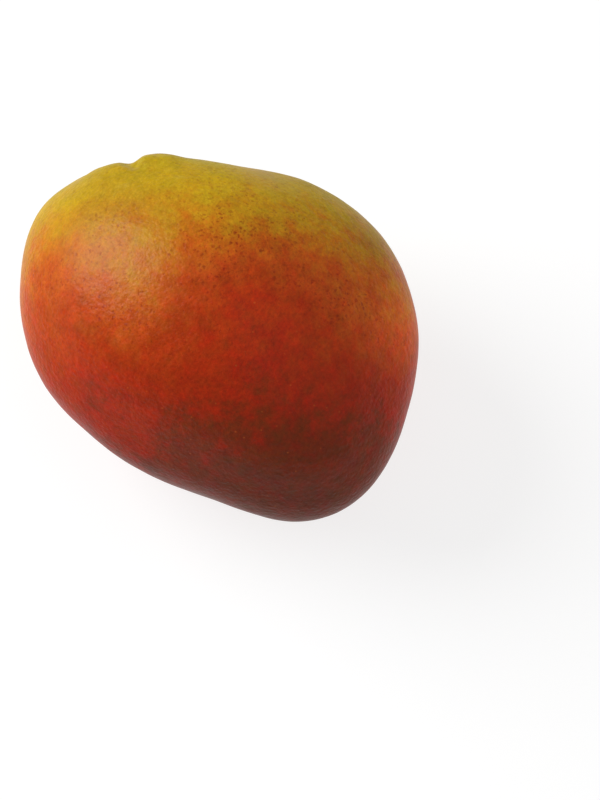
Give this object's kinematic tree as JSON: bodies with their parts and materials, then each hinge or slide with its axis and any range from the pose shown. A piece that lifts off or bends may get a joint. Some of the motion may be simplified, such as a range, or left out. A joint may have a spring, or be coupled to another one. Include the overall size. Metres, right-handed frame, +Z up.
{
  "type": "whole mango",
  "caption": "Whole ripe mango, picked, with a shallow stem pit at one end, lying on one broad cheek on a small flat spot.",
  "frame": {"origin": "centre of the bounding box at the base, on the surface the fruit rests on", "axes": "+X from the stem end to the apex, +Y toward the full rounded back, +Z up through the cheeks"},
  "size_m": [0.1296, 0.1052, 0.0892],
  "materials": {
    "skin": "waxy ripe skin, olive gold round the stem end running to orange, red and dark maroon, semi-gloss"
  },
  "bodies": {
    "root": {"mango": "skin"}
  },
  "joints": []
}
